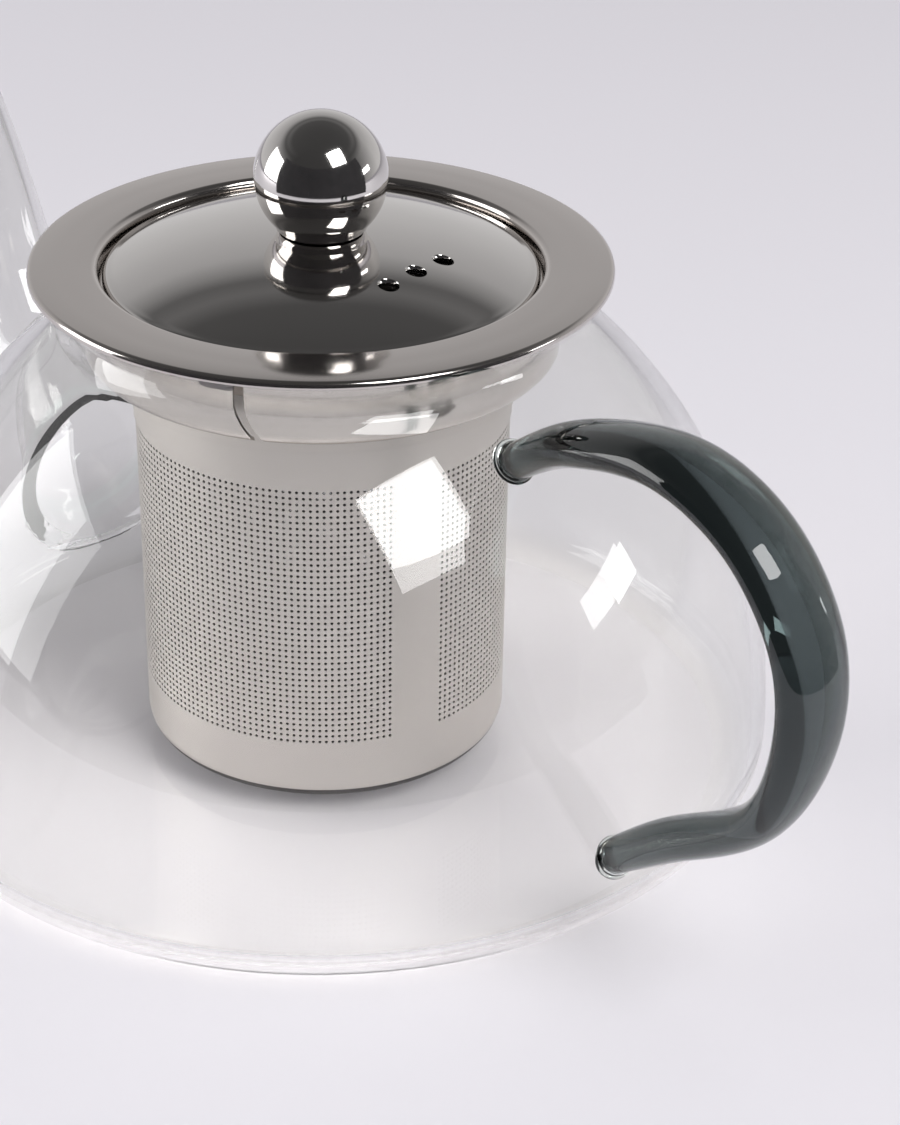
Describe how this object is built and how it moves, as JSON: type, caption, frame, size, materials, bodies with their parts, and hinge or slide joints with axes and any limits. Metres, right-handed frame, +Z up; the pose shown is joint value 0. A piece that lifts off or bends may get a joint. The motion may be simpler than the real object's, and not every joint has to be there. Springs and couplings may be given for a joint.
{
  "type": "teapot",
  "caption": "Clear glass teapot with a smoked glass strap handle, a lift-out perforated steel strainer and a domed steel lid with a ball knob.",
  "frame": {"origin": "centre of the flat foot, on the table", "axes": "+Z up along the pot's axis, +X towards the handle, -X towards the spout"},
  "size_m": [0.2284, 0.1426, 0.1064],
  "materials": {
    "clear_glass": "polished",
    "weld_glass": "polished",
    "smoked_glass": "polished",
    "satin_steel": "satin",
    "strainer_steel": "satin",
    "spring_steel": "polished",
    "polished_steel": "mirror",
    "plain_steel": "machined"
  },
  "bodies": {
    "pot": {"glass_body": "clear_glass", "spout": "clear_glass", "spout_weld": "weld_glass", "handle": "smoked_glass", "handle_upper_weld": "weld_glass", "handle_lower_weld": "weld_glass"},
    "collar": {"spring_collar": "spring_steel"},
    "strainer": {"strainer_flange": "satin_steel", "basket_wall": "strainer_steel", "basket_base": "strainer_steel"},
    "lid": {"lid_dome": "polished_steel", "lid_skirt": "satin_steel", "knob_upper_shell": "polished_steel", "knob_lower_shell": "polished_steel", "knob_nut": "plain_steel", "knob_screw": "plain_steel", "knob_washer": "plain_steel"}
  },
  "joints": [
    {"name": "collar_lift", "type": "slide", "parent": "pot", "child": "collar", "axis": [0, 0, 1], "range_m": [0, 0.095]},
    {"name": "strainer_turn", "type": "hinge", "parent": "collar", "child": "strainer", "pos_m": [0, 0, 0.08], "axis": [0, 0, 1], "continuous": true},
    {"name": "lid_lift", "type": "slide", "parent": "strainer", "child": "lid", "axis": [0, 0, 1], "range_m": [0, 0.06]}
  ]
}
